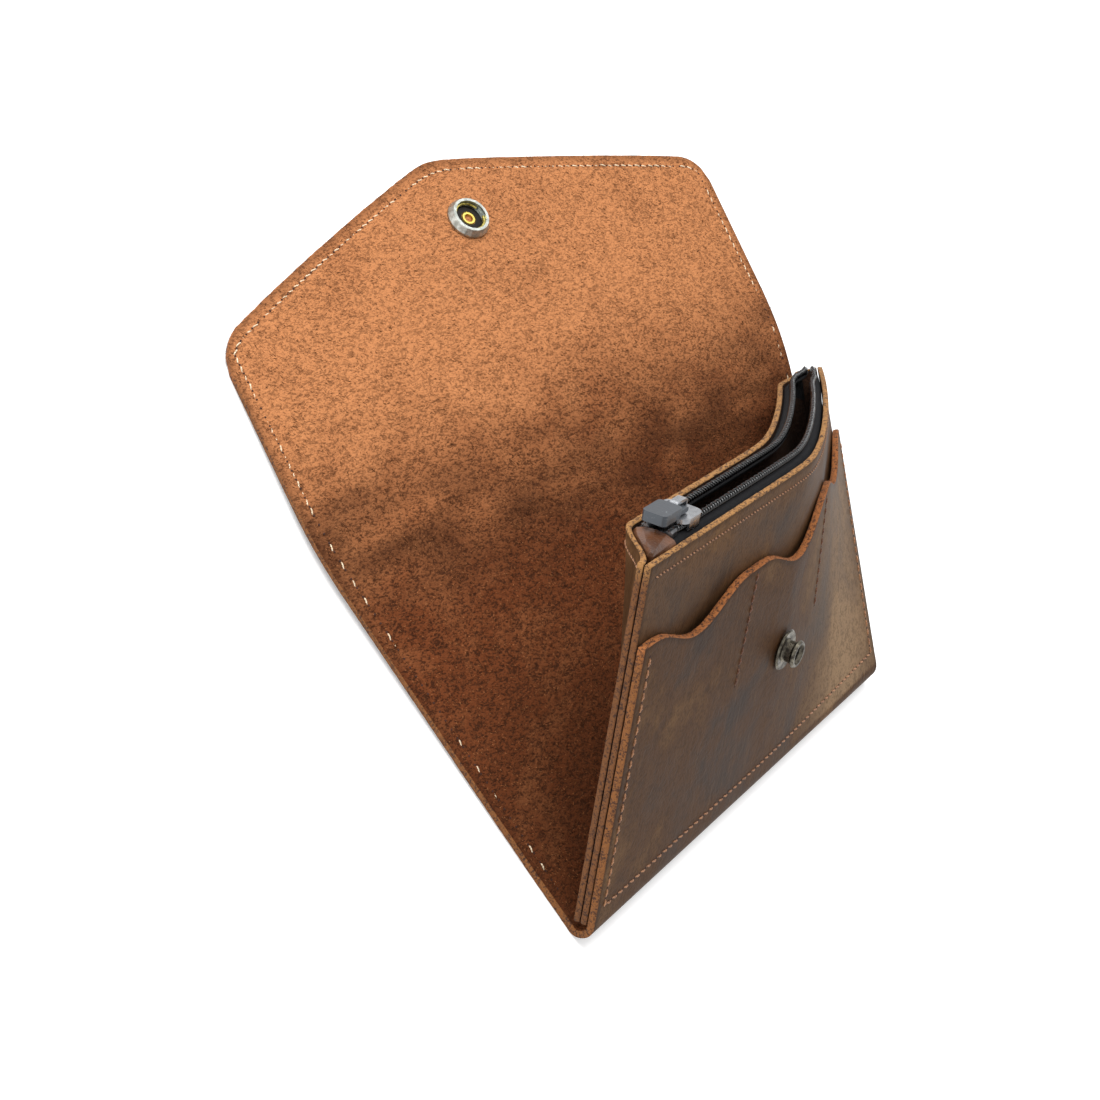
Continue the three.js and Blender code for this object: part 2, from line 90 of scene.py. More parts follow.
def tint(red, green, blue):
    """A colour as a screen shows it, in the renderer's light values."""
    parts = [c / 255 for c in (red, green, blue)]
    return tuple(((c + 0.055) / 1.055) ** 2.4 if c > 0.04 else c / 12.92 for c in parts) + (1.0,)


def across(ends, t):
    """A smooth value over the width, from those at the left end, the middle and the right end."""
    left, middle, right = ends
    return left * (1 - t) * (1 - 2 * t) + middle * 4 * t * (1 - t) + right * t * (2 * t - 1)


def heading(rise, splay):
    """The direction that climbs by rise and leans sideways by splay, in degrees."""
    rise, splay = np.broadcast_arrays(np.radians(rise), np.radians(splay))
    return np.stack([-np.sin(splay) * np.cos(rise), np.cos(splay) * np.cos(rise), np.sin(rise)], -1)


def fold_centre(t):
    """The middle of the fold's round at a share t of the width."""
    return np.stack([(t - 0.5) * wallet_width, 0 * t, fold_height + 0 * t], -1)


def stack_angle(t):
    """How steeply the pockets stand. The right end has sunk."""
    past = (t - stack_bend_start) / (1 - stack_bend_start)
    bent = (past + np.hypot(past, stack_bend_softness)) / 2
    return stack_rise - stack_droop * bent**stack_bend_power


def stack_outward(t):
    """The direction that the pocket face looks."""
    turn = np.radians(stack_angle(t))
    return np.stack([0 * turn, -np.sin(turn), np.cos(turn)], -1)


def stack_point(t, up, inward):
    """A place in the standing stack: up from the fold, and inward from the pocket face."""
    t, up, inward = np.broadcast_arrays(*(np.asarray(v, float) for v in (t, up, inward)))
    upward = heading(stack_angle(t), 0 * t)
    return fold_centre(t) + upward * up[..., None] + stack_outward(t) * (fold_radius - inward)[..., None]


def back_point(t, along):
    """A place on the outside of the back and flap, that far along from the fold."""
    t, along = np.broadcast_arrays(*(np.asarray(v, float) for v in (t, along)))
    back = heading(across(back_rise, t), across(back_splay, t))
    flap = heading(across(flap_tilt, t), across(flap_splay, t))
    below = np.stack([0 * t, back[..., 2], -back[..., 1]], -1)
    below /= np.linalg.norm(below, axis=-1)[..., None]
    start = back_height - crease_length / 2
    bent = np.clip((along - start) / crease_length, 0, 1)
    on_back = np.minimum(along, start) + crease_length * (bent - bent**2 / 2)
    on_flap = crease_length * bent**2 / 2 + np.maximum(0, along - start - crease_length)
    return fold_centre(t) + below * fold_radius + back * on_back[..., None] + flap * on_flap[..., None]


def fold_point(t, share):
    """A place on the round of the fold, from the back at share 0 to the pocket face at share 1."""
    back = heading(across(back_rise, t), across(back_splay, t))
    first = 1.5 * np.pi + np.arctan2(back[..., 2], back[..., 1])
    last = 0.5 * np.pi + np.radians(stack_angle(t))
    turn = first + (last - first) * share
    return fold_centre(t) + fold_radius * np.stack([0 * turn, np.cos(turn), np.sin(turn)], -1)


def flap_length(t):
    """How far the flap reaches past the crease: a blunt point with rounded shoulders."""
    aside = np.abs(t - 0.5) * wallet_width
    soft = np.hypot(aside, flap_point_softness) - flap_point_softness
    point = flap_side + flap_rise * (1 - soft / (wallet_width / 2))
    corner = np.clip(flap_corner_radius - (wallet_width / 2 - aside), 0, flap_corner_radius)
    return point - flap_corner_radius + np.sqrt(flap_corner_radius**2 - corner**2)


def pocket_top(t):
    """The height of the pockets' upper edge, with a scoop over each slot."""
    aside = np.abs(((t * slot_count) % 1) - 0.5) * wallet_width / slot_count / scoop_half_width
    return pocket_height - scoop_depth * np.where(aside < 1, 0.5 + 0.5 * np.cos(np.pi * aside), 0)


def unevenness(u, v, size, seed):
    """Smooth chance bumps from -1 to 1, about as wide as size."""
    table = np.random.default_rng(seed).uniform(-1, 1, (97, 97))
    x, y = np.asarray(u) / size + 7, np.asarray(v) / size + 7
    i, j = np.floor(x).astype(int), np.floor(y).astype(int)
    fx, fy = x - i, y - j
    fx, fy = fx * fx * (3 - 2 * fx), fy * fy * (3 - 2 * fy)
    low = table[i % 97, j % 97] * (1 - fx) + table[(i + 1) % 97, j % 97] * fx
    high = table[i % 97, (j + 1) % 97] * (1 - fx) + table[(i + 1) % 97, (j + 1) % 97] * fx
    return low * (1 - fy) + high * fy


def unit(vectors):
    """The same directions, one long."""
    return vectors / np.maximum(1e-12, np.linalg.norm(vectors, axis=-1))[..., None]


def facing(surface):
    """The direction across a grid of points, from its outside in."""
    return unit(np.cross(np.gradient(surface, axis=0), np.gradient(surface, axis=1)))


def make_piece(name, points, faces, finishes, body="wallet", finish_of=None, marks=None):
    """A mesh that rides on a body. finish_of numbers each face's finish. Marks are values at the points."""
    mesh = bpy.data.meshes.new(name)
    mesh.from_pydata(np.asarray(points).tolist(), [], faces)
    mesh.polygons.foreach_set("use_smooth", [True] * len(mesh.polygons))
    for finish in finishes:
        mesh.materials.append(finish)
    if finish_of is not None:
        mesh.polygons.foreach_set("material_index", finish_of)
    for label, values in (marks or {}).items():
        layer = mesh.attributes.new(label, "FLOAT", "POINT")
        layer.data.foreach_set("value", np.asarray(values, np.float32))
    mesh.update()
    piece = bpy.data.objects.new(name, mesh)
    bpy.context.scene.collection.objects.link(piece)
    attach(piece, body)
    return piece


def make_sheet(name, outside, inside, marks, finishes, edge_bulge=0.00035, edge_fray=0.00010):
    """A closed sheet between two grids of points. Its finishes are for the outside, inside and cut edge."""
    rows, columns = outside.shape[:2]
    ring = [(0, j) for j in range(columns)] + [(i, columns - 1) for i in range(1, rows)]
    ring += [(rows - 1, j) for j in range(columns - 2, -1, -1)] + [(i, 0) for i in range(rows - 2, 0, -1)]
    at = np.array(ring)
    near = np.clip(at, 1, [rows - 2, columns - 2])
    middle = (outside + inside) / 2
    beyond = unit(middle[at[:, 0], at[:, 1]] - middle[near[:, 0], near[:, 1]])
    rim_out, rim_in = outside[at[:, 0], at[:, 1]], inside[at[:, 0], at[:, 1]]
    count, loops, bands = len(ring), 6, []
    frayed = 1 + edge_fray / edge_bulge * np.random.default_rng(count).uniform(-1, 1, (loops, count))
    for k in range(1, loops):
        turn = math.pi * k / loops
        level = math.copysign(abs(math.cos(turn)) ** 0.6, math.cos(turn))
        reach = edge_bulge * math.sin(turn) ** 0.6 * frayed[k]
        bands.append((rim_out + rim_in) / 2 + (rim_out - rim_in) / 2 * level + beyond * reach[:, None])
    points = np.concatenate([outside.reshape(-1, 3), inside.reshape(-1, 3)] + bands)
    size = rows * columns
    number = np.arange(size).reshape(rows, columns)
    a, b, c, d = (g.ravel() for g in (number[:-1, :-1], number[:-1, 1:], number[1:, 1:], number[1:, :-1]))
    faces = np.stack([a, b, c, d], -1).tolist()
    faces += np.stack([a + size, d + size, c + size, b + size], -1).tolist()
    finish_of = [0] * len(a) + [1] * len(a)
    flat = at[:, 0] * columns + at[:, 1]
    chain = [flat] + [2 * size + k * count + np.arange(count) for k in range(loops - 1)] + [flat + size]
    for first, second in zip(chain, chain[1:]):
        following, next_second = np.roll(first, -1), np.roll(second, -1)
        faces += np.stack([first, second, next_second, following], -1).tolist()
        finish_of += [2] * count
    kept = {}
    for label, grid in marks.items():
        kept[label] = np.concatenate([grid.ravel(), grid.ravel()] + [grid.ravel()[flat]] * (loops - 1))
    return make_piece(name, points, faces, finishes, finish_of=finish_of, marks=kept)


def put(tree, kind, inputs=(), **settings):
    """Adds a node to a tree. The inputs are sockets to join or plain values, by name or by number."""
    node = tree.nodes.new("ShaderNode" + kind)
    for label, value in settings.items():
        setattr(node, label, value)
    for label, value in (inputs.items() if isinstance(inputs, dict) else enumerate(inputs)):
        if isinstance(value, bpy.types.NodeSocket):
            tree.links.new(value, node.inputs[label])
        elif value is not None:
            node.inputs[label].default_value = value
    return node


def calc(tree, operation, *values):
    """A sum on values, as a socket."""
    return put(tree, "Math", values, operation=operation).outputs[0]


def spread(tree, value, low, high, to_low=0.0, to_high=1.0):
    """The value from low to high, eased to the other range, as a socket."""
    node = put(tree, "MapRange", [value, low, high, to_low, to_high], interpolation_type="SMOOTHSTEP")
    return node.outputs[0]


def mixed(tree, share, first, second):
    """Two colours mixed, as a socket."""
    return put(tree, "Mix", {0: share, 6: first, 7: second}, data_type="RGBA").outputs[2]


def cloudy(tree, place, scale, detail=3.0, roughness=0.5, distortion=0.0):
    """Soft chance noise with about scale lumps a metre, as a socket."""
    noise = put(tree, "TexNoise", {"Vector": place, "Scale": scale, "Detail": detail})
    noise.inputs["Roughness"].default_value = roughness
    noise.inputs["Distortion"].default_value = distortion
    return noise.outputs[0]


def mark(tree, label):
    """A value kept at the mesh's points, as a socket."""
    return put(tree, "Attribute", attribute_name=label).outputs["Fac"]


def start_effect(name, takes, gives):
    """A shared effect, as a node group that gives values. Returns it, what it takes and what it gives."""
    group = bpy.data.node_groups.new(name, "ShaderNodeTree")
    for label, kind in takes:
        group.interface.new_socket(label, in_out="INPUT", socket_type="NodeSocket" + kind)
    for label, kind in gives:
        group.interface.new_socket(label, in_out="OUTPUT", socket_type="NodeSocket" + kind)
    return group, group.nodes.new("NodeGroupInput").outputs, group.nodes.new("NodeGroupOutput").inputs


def use_effect(tree, group, **inputs):
    """An effect's outputs in a material."""
    node = tree.nodes.new("ShaderNodeGroup")
    node.node_tree = group
    for label, value in inputs.items():
        tree.links.new(value, node.inputs[label])
    return node.outputs


def start_finish(name, **values):
    """A material with one shader. Returns it, its tree, the shader and the object's own places."""
    finish = bpy.data.materials.new(name)
    finish.use_nodes = True
    tree = finish.node_tree
    shader = tree.nodes["Principled BSDF"]
    for label, value in values.items():
        shader.inputs[label.replace("_", " ")].default_value = value
    return finish, tree, shader, put(tree, "TexCoord").outputs["Object"]


def relief(tree, shader, height, depth, strength=1.0):
    """Bumps as deep as depth on a shader."""
    bump = put(tree, "Bump", {"Height": height, "Distance": depth, "Strength": strength})
    tree.links.new(bump.outputs[0], shader.inputs["Normal"])


grain, taken, given = start_effect(
    "leather grain",
    [("Place", "Vector")],
    [("Height", "Float"), ("Cloud", "Float"), ("Scuff", "Float")],
)
cells = put(grain, "TexVoronoi", {"Vector": taken["Place"], "Scale": 1500.0}, feature="SMOOTH_F1")
pores = cells.outputs[0]
folds = cloudy(grain, taken["Place"], 420.0, 5.0, 0.6, 0.6)
grain.links.new(calc(grain, "ADD", calc(grain, "MULTIPLY", pores, 0.5), folds), given["Height"])
grain.links.new(cloudy(grain, taken["Place"], 30.0, 6.0, 0.62, 0.3), given["Cloud"])
drawn = put(grain, "Mapping", {"Vector": taken["Place"], "Scale": (1.0, 0.10, 0.10)})
streaks = cloudy(grain, drawn.outputs[0], 700.0, 4.0, 0.6, 0.2)
grain.links.new(spread(grain, streaks, 0.48, 0.72), given["Scuff"])

nap, taken, given = start_effect(
    "suede nap",
    [("Place", "Vector")],
    [("Height", "Float"), ("Speckle", "Float"), ("Cloud", "Float")],
)
comb_turn = (0.0, 0.0, 0.8)
comb_stretch = (0.75, 1.25, 1.25)
combed = put(nap, "Mapping", {"Vector": taken["Place"], "Rotation": comb_turn, "Scale": comb_stretch})
fibres = cloudy(nap, combed.outputs[0], 1600.0, 3.0, 0.7, 0.4)
clumps = cloudy(nap, combed.outputs[0], 640.0, 3.0, 0.6, 0.6)
nap.links.new(calc(nap, "ADD", calc(nap, "MULTIPLY", fibres, 0.8), clumps), given["Height"])
speckle = calc(nap, "ADD", calc(nap, "MULTIPLY", fibres, 0.6), calc(nap, "MULTIPLY", clumps, 0.4))
nap.links.new(spread(nap, speckle, 0.38, 0.60), given["Speckle"])
nap.links.new(cloudy(nap, taken["Place"], 34.0, 6.0, 0.65, 0.5), given["Cloud"])


waxed_roughness = 0.52


def smooth_leather(name, dark, middle, light, rubbed_and_lit_colour, roughness=waxed_roughness):
    """Waxed leather with its smooth side out: cloudy, paler where it was bent or rubbed, and paler in a
    painted highlight where one mark says so.
    """
    finish, tree, shader, place = start_finish(name)
    look = use_effect(tree, grain, Place=place)
    edge = mark(tree, "from_edge")
    colour = mixed(tree, spread(tree, look["Cloud"], 0.30, 0.52), dark, middle)
    colour = mixed(tree, spread(tree, look["Cloud"], 0.52, 0.72), colour, light)
    colour = mixed(tree, calc(tree, "MULTIPLY", look["Scuff"], 0.22), colour, light)
    patchy_share = spread(tree, look["Cloud"], 0.35, 0.65, 0.3, 0.8)
    # Paler by real wear, and by a painted highlight on the pockets' right end, in patches.
    colour = mixed(tree, calc(tree, "MULTIPLY", mark(tree, "rubbed_and_lit"), patchy_share), colour, rubbed_and_lit_colour)
    colour = mixed(tree, spread(tree, edge, 0.0022, 0.0, 0.0, 0.55), colour, dark)
    colour = mixed(tree, spread(tree, look["Height"], 0.50, 0.80, 0.45, 0.0), colour, dark)
    tree.links.new(colour, shader.inputs["Base Color"])
    dullness = spread(tree, look["Cloud"], 0.3, 0.7, roughness - 0.08, roughness + 0.1)
    tree.links.new(dullness, shader.inputs["Roughness"])
    shader.inputs["Specular IOR Level"].default_value = 0.08
    relief(tree, shader, look["Height"], 0.0002, 0.6)
    return finish


def suede_leather(name, dark, middle, light, shade_start, shade_end):
    """The flesh side: a short nap, with painted shade from shade_start to shade_end along the sheet and in
    creases.
    """
    finish, tree, shader, place = start_finish(name, Roughness=0.95, Sheen_Weight=0.25, Sheen_Roughness=0.6)
    shader.inputs["Specular IOR Level"].default_value = 0.12
    shader.inputs["Sheen Tint"].default_value = light
    look = use_effect(tree, nap, Place=place)
    shaded = spread(tree, mark(tree, "along"), shade_start, shade_end)
    patches = calc(tree, "MULTIPLY", calc(tree, "SUBTRACT", look["Cloud"], 0.5), 1.5)
    shaded = calc(tree, "ADD", shaded, patches)
    base = mixed(tree, calc(tree, "MINIMUM", calc(tree, "MAXIMUM", shaded, 0.0), 1.0), light, middle)
    # Painted shade along the crease and near the fold, behind the standing pockets.
    base = mixed(tree, calc(tree, "MULTIPLY", mark(tree, "crease_shade"), 0.6), base, dark)
    depth = calc(tree, "ADD", 0.56, calc(tree, "MULTIPLY", calc(tree, "MINIMUM", shaded, 1.0), 0.4))
    grains = calc(tree, "MULTIPLY", spread(tree, look["Speckle"], 0.85, 0.0), depth)
    colour = mixed(tree, grains, base, dark)
    colour = mixed(tree, spread(tree, mark(tree, "from_edge"), 0.0028, 0.0, 0.0, 0.42), colour, dark)
    colour = mixed(tree, spread(tree, mark(tree, "tuft"), 0.0, -1.0, 0.0, 0.9), colour, dark)
    colour = mixed(tree, spread(tree, mark(tree, "tuft"), 0.0, 1.0, 0.0, 0.5), colour, light)
    tree.links.new(colour, shader.inputs["Base Color"])
    relief(tree, shader, look["Height"], 0.0006, 0.9)
    return finish


def cut_edge(name, dark, light, top):
    """The raw fibrous edge of cut leather, darker at the sides and paler along the top."""
    finish, tree, shader, place = start_finish(name, Roughness=0.85)
    look = use_effect(tree, nap, Place=place)
    pale = mixed(tree, mark(tree, "top"), light, top)
    colour = mixed(tree, spread(tree, look["Speckle"], 0.0, 0.75), dark, pale)
    tree.links.new(colour, shader.inputs["Base Color"])
    relief(tree, shader, look["Height"], 0.0004, 0.8)
    return finish


# The last colour is for real wear and for the painted highlight on the pockets' right end.
shell_smooth = smooth_leather(
    "shell smooth side", tint(48, 30, 17), tint(80, 54, 33), tint(112, 83, 55), tint(154, 127, 98)
)
# Painted shade: the suede darkens from shade_start to shade_end, towards the fold behind the pockets.
shade_start = back_height + 0.038
shade_end = 0.070
shell_suede = suede_leather(
    "shell suede side", tint(46, 20, 8), tint(106, 55, 28), tint(184, 122, 78), shade_start, shade_end
)
shell_edge = cut_edge("shell cut edge", tint(62, 32, 11), tint(128, 78, 32), tint(152, 90, 40))

sheet_shares = np.linspace(0, 1, sheet_columns + 1)
whole_length = back_height + flap_length(sheet_shares)
back_rows = np.linspace(1, 0, flap_rows)[:, None]
pocket_shares = np.linspace(0, 1, pocket_rows)[1:, None]
round_shares = np.linspace(0, 1, fold_rows)[1:-1, None]
along_back = back_rows * whole_length
up_pocket = pocket_shares * pocket_top(sheet_shares)
outside = np.concatenate(
    [
        back_point(np.broadcast_to(sheet_shares, along_back.shape), along_back),
        fold_point(np.broadcast_to(sheet_shares, (fold_rows - 2, sheet_columns + 1)), round_shares),
        stack_point(0 * pocket_shares + sheet_shares, 0, 0)[:1],
        stack_point(0 * pocket_shares + sheet_shares, up_pocket, 0),
    ]
)
outside[..., 2] = np.maximum(outside[..., 2], 0)
flat_row = 0 * along_back[:1]
along_fold = [-fold_length * round_shares - flat_row, -fold_length + flat_row]
along = np.concatenate([along_back, *along_fold, -fold_length - up_pocket])
share_grid = np.broadcast_to(sheet_shares, along.shape)
width_grid = share_grid * wallet_width
from_side = np.minimum(share_grid, 1 - share_grid) * wallet_width
tip_slope = math.cos(math.atan2(flap_rise, wallet_width / 2))
from_tip = np.where(along > 0, (whole_length - along) * tip_slope, 1)
on_pocket = along < -fold_length
from_pocket = np.where(on_pocket, pocket_top(share_grid) + along + fold_length, 1)
from_edge = np.minimum(np.minimum(from_side, from_tip), from_pocket)
from_crease = along - back_height + crease_wander * np.sin(share_grid * 3)
on_crease = np.exp(-((from_crease / crease_reach) ** 2)) * (along > 0)
wrinkles = unevenness(width_grid, along * wrinkle_closeness, wrinkle_size, 3) * on_crease
uneven = unevenness(width_grid, along, broad_bump, 5) + 0.5 * unevenness(width_grid, along, small_bump, 6)
free_back = np.clip(along / flat_near_fold, 0, 1) * np.clip(from_edge / flat_near_edge, 0, 1)
swell = (crease_wrinkle * wrinkles + suede_unevenness * uneven) * free_back
from_seam = (from_edge - flap_seam_inset) / seam_channel_width
swell -= seam_channel_depth * np.exp(-(from_seam**2)) * (along > 0)
inward = facing(outside)
inside = outside + inward * (sheet_thickness + swell)[..., None]
inside[..., 2] = np.maximum(inside[..., 2], sheet_thickness)
# Painted shade along the crease where the flap begins.
crease_patches = 0.55 + 0.7 * unevenness(width_grid, along * 2.5, 0.014, 9)
crease_shade = np.clip(on_crease * crease_patches, 0, 1)
# Painted shade on the back's suede near the fold, behind the standing pockets.
deep = np.clip((0.075 - along) / 0.06, 0, 1) * (along > -0.001)
# A painted highlight: the pockets' right end, bent towards the light, is paler.
painted_highlight_right_end = np.exp(-(((share_grid - 0.86) / 0.16) ** 2)) * on_pocket
sheet_marks = {
    "from_edge": from_edge,
    "along": along,
    "top": np.exp(-((np.minimum(from_pocket, from_tip + 0.001) / 0.003) ** 2)),
    "crease_shade": np.clip(crease_shade + 0.5 * deep, 0, 1),
    "rubbed_and_lit": np.clip(painted_highlight_right_end + 0.5 * on_crease, 0, 1),
}
tuft_count = 42000
tuft_length = (0.0006, 0.0013)
tuft_width = (0.00018, 0.00040)
tuft_lift = (0.00004, 0.00026)
tuft_lean = -0.85
tuft_root_depth = 0.00006


def raise_nap(name, surface, outward, marks, rows, count, finish):
    """Flat tufts of fibre over a surface's first rows, combed roughly one way. Each is a closed sliver."""
    chance = np.random.default_rng(count)
    i, j = chance.uniform(0.5, rows - 1.5, count), chance.uniform(0.5, surface.shape[1] - 1.5, count)
    low_i, low_j = i.astype(int), j.astype(int)
    part_i, part_j = i - low_i, j - low_j

    def taken_from(grid):
        """The grid's values at the tufts' places."""
        a, b = (part_i, part_j) if grid.ndim == 2 else (part_i[:, None], part_j[:, None])
        first = grid[low_i, low_j] * (1 - b) + grid[low_i, low_j + 1] * b
        second = grid[low_i + 1, low_j] * (1 - b) + grid[low_i + 1, low_j + 1] * b
        return first * (1 - a) + second * a

    root, up = taken_from(surface), unit(taken_from(outward))
    swirl = unevenness(root[:, 0], root[:, 1], 0.018, 21)
    lean = tuft_lean + 0.9 * swirl + chance.normal(0, 0.5, count)
    flat_way = np.stack([np.cos(lean), np.sin(lean), 0 * lean], -1)
    onward = unit(flat_way - up * (flat_way * up).sum(-1)[:, None])
    sideways = np.cross(up, onward)
    spans = (tuft_length, tuft_width, tuft_lift)
    long, wide, high = (chance.uniform(*span, count)[:, None] for span in spans)
    sunk = root - up * tuft_root_depth
    crest = sunk + onward * long * 0.3 + up * high
    tip = root + onward * long + up * (high * chance.uniform(-0.2, 0.8, (count, 1)))
    corners = [sunk + sideways * wide / 2, sunk - sideways * wide / 2, crest, tip]
    points = np.stack(corners, 1).reshape(-1, 3)
    first = np.arange(count)[:, None] * 4
    sliver_sides = ((0, 2, 1), (0, 3, 2), (1, 2, 3), (0, 1, 3))
    faces = np.concatenate([first + np.array(side) for side in sliver_sides]).tolist()
    kept = {label: np.repeat(taken_from(grid), 4) for label, grid in marks.items()}
    kept["tuft"] = np.repeat(chance.uniform(-1, 1, count), 4)
    return make_piece(name, points, faces, [finish], marks=kept)


nap_tufts = raise_nap("suede_nap", inside, inward, sheet_marks, flap_rows, tuft_count, shell_suede)
sheet = make_sheet("folded_sheet", outside, inside, sheet_marks, [shell_smooth, shell_suede, shell_edge])
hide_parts("outer_shell")


# The coin pouch.
# Two thinner leather panels stand behind the card pockets. They gape at the top, where the zip is sewn in.
# They are sewn into the side and bottom seams, with the smooth side out and a pale edge along the mouth.
pouch_leather = 0.0016
pouch_height = 0.0964
pouch_mouth = 0.0126
pouch_start = 0.0004
slot_clearance = 0.0011
seam_gap = 0.0003
swell_up = (0.008, 0.040)
swell_down = (0.0665, 0.0884)
swell_end = 0.97
gape_start = 0.1
gape_narrows = (0.84, 0.965)
gape_power = 1.5
panel_columns = 130
panel_rows = 70
mouth_seam_inset = 0.0036


def eased(value, low, high):
    """From 0 below low to 1 above high, smoothly."""
    share = np.clip((value - low) / (high - low), 0, 1)
    return share * share * (3 - 2 * share)


def pouch_depth(t, up):
    """How far the pouch's front face is behind the pocket face."""
    place = ((t * slot_count) % 1) - 0.5
    swollen = eased(up, *swell_up) * (1 - eased(up, *swell_down)) * (1 - eased(t, swell_end, 1))
    return sheet_thickness + seam_gap + slot_clearance * np.cos(np.pi * place) ** 2 * swollen


def pouch_gape(t, up):
    """The room between the two panels."""
    wide = eased(t, 0, gape_start)
    wide = wide * (1 - 0.5 * eased(t, *gape_narrows) - 0.5 * eased(t, gape_narrows[1], 1))
    return seam_gap + (pouch_mouth - seam_gap) * wide * np.minimum(1, up / pouch_height) ** gape_power


def pouch_rear(t, up):
    """How far the pouch's rear face is behind the pocket face."""
    return pouch_depth(t, up) + 2 * pouch_leather + pouch_gape(t, up)


pouch_smooth = smooth_leather(
    "pouch smooth side", tint(52, 35, 21), tint(88, 62, 40), tint(120, 88, 57), tint(114, 81, 50)
)
# The suede faces the pouch's narrow inside: its dark colours are painted shade.
pouch_suede_shaded = suede_leather(
    "pouch suede side", tint(18, 10, 7), tint(34, 20, 13), tint(60, 38, 24), shade_start=0.2, shade_end=0.0
)
pouch_edge = cut_edge("pouch cut edge", tint(58, 31, 11), tint(110, 66, 27), tint(152, 108, 58))

panel_shares = np.linspace(0, 1, panel_columns + 1)[None, :] + np.zeros((panel_rows, 1))
panel_ups = np.linspace(pouch_start, pouch_height, panel_rows)[:, None] + np.zeros((1, panel_columns + 1))
front_depth = pouch_depth(panel_shares, panel_ups)
back_depth = front_depth + pouch_leather + pouch_gape(panel_shares, panel_ups)
panel_sides = np.minimum(panel_shares, 1 - panel_shares) * wallet_width
panel_marks = {
    "from_edge": np.minimum(panel_sides, pouch_height - panel_ups),
    "along": panel_ups,
    "top": np.exp(-(((pouch_height - panel_ups) / 0.003) ** 2)),
    # Patches of painted shade on the pouch's inside.
    "crease_shade": np.clip(unevenness(panel_shares * wallet_width, panel_ups, 0.02, 12), 0, 1) * 0.5,
    "rubbed_and_lit": np.exp(-(((panel_ups - pouch_height) / 0.01) ** 2)) * 0.6,
}
pouch_front = make_sheet(
    "pouch_front",
    stack_point(panel_shares, panel_ups, front_depth),
    stack_point(panel_shares, panel_ups, front_depth + pouch_leather),
    panel_marks,
    [pouch_smooth, pouch_suede_shaded, pouch_edge],
)
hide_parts("pouch_front_panel")
pouch_back = make_sheet(
    "pouch_back",
    stack_point(panel_shares, panel_ups, back_depth),
    stack_point(panel_shares, panel_ups, back_depth + pouch_leather),
    panel_marks,
    [pouch_suede_shaded, pouch_smooth, pouch_edge],
)
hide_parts("pouch_back_panel")


# The zip tapes.
# Each is a black woven tape, glued and sewn inside its panel, and folded over the mouth to carry its row.
# The weave runs along the tape, with a thicker woven cord beside the coil.
zip_start = 0.017
zip_end_margin = 0.008
tape_thickness = 0.0006
tape_lap = 0.008
tape_lap_steps = 6
tape_roll = ((-0.0016, 0.0), (-0.0006, 0.10), (0.0, 0.35), (0.0002, 0.7), (0.0, 1.0))
twill_length = 0.0009
twill_width = 0.0007
row_spacing = 0.0062
row_room = 0.00125
coil_width = 0.0019
coil_height = 0.0018
tape_columns = 200
zip_sides = ((-1, "front"), (1, "back"))
zip_shares = np.linspace(zip_start / wallet_width, 1 - zip_end_margin / wallet_width, tape_columns + 1)


def mouth_edges(t):
    """How far inward the front and back panels' inner faces are at the mouth."""
    front = pouch_depth(t, pouch_height) + pouch_leather
    return front, front + pouch_gape(t, pouch_height)


def row_inward(t, side):
    """How far inward a zip row runs. Side -1 is the front row and 1 the back row."""
    front, back = mouth_edges(t)
    offset = (back - front) / 2 - coil_width / 2 - 2 * tape_thickness
    return (front + back) / 2 + side * np.clip(offset, row_room, row_spacing / 2)


def woven_cloth(name, colour, highlight):
    """A fine twill of dark yarn, from the mesh's own lengthways and sideways marks, with a painted highlight
    on the raised yarn.
    """
    finish, tree, shader, place = start_finish(name, Roughness=0.85)
    shader.inputs["Specular IOR Level"].default_value = 0.2
    lengthways = calc(tree, "MULTIPLY", mark(tree, "along"), 2 * math.pi / twill_length)
    sideways = calc(tree, "MULTIPLY", mark(tree, "sideways"), 2 * math.pi / twill_width)
    warp = calc(tree, "SINE", calc(tree, "ADD", lengthways, sideways))
    weft = calc(tree, "SINE", calc(tree, "SUBTRACT", calc(tree, "MULTIPLY", sideways, 2.0), lengthways))
    yarn = calc(tree, "MULTIPLY", calc(tree, "ADD", calc(tree, "MAXIMUM", warp, weft), 1.0), 0.5)
    # A painted highlight: the raised yarn is paler, in patches.
    yarn_highlight = calc(tree, "MULTIPLY", yarn, cloudy(tree, place, 500.0, 4.0, 0.7))
    tree.links.new(mixed(tree, yarn_highlight, colour, highlight), shader.inputs["Base Color"])
    relief(tree, shader, yarn, 0.00018, 0.8)
    return finish


tape_cloth = woven_cloth("black zip tape", tint(7, 7, 8), tint(38, 38, 41))
lap_levels = np.linspace(-tape_lap, tape_roll[0][0], tape_lap_steps + 1)[:-1]
roll_levels, roll_leans = np.array(tape_roll).T
for side, name in zip_sides:
    face = mouth_edges(zip_shares)[(side + 1) // 2] - side * seam_gap
    row = row_inward(zip_shares, side)
    levels = pouch_height + np.concatenate([lap_levels, roll_levels])[:, None] + 0 * zip_shares
    leans = np.concatenate([0 * lap_levels, roll_leans])[:, None]
    deep = face + (row - side * coil_width * 0.3 - face) * leans
    shares = zip_shares + 0 * levels
    outer_face = stack_point(shares, levels, deep)
    cross_way = facing(outer_face)
    thick = tape_thickness * 0.8
    under = outer_face + cross_way * thick * (1 if side < 0 else -1)
    first, second = (outer_face, under) if side < 0 else (under, outer_face)
    marks = {"along": shares * wallet_width, "sideways": levels + deep, "from_edge": 0 * levels}
    tape = make_sheet(f"zip_tape_{name}", first, second, marks, [tape_cloth] * 3, 0.0001, 0.00003)
    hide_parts(f"zipper_tape_{name}")


# The zip rows.
# Each row is a black nylon line wound into a flat spiral: the teeth of a coil zip, glossy as it is drawn.
# Two lines of fine thread hold it on the tape. The rows stand apart, as the zip is open.
coil_turn = 0.00125
coil_wire = 0.00028
points_a_turn = 14


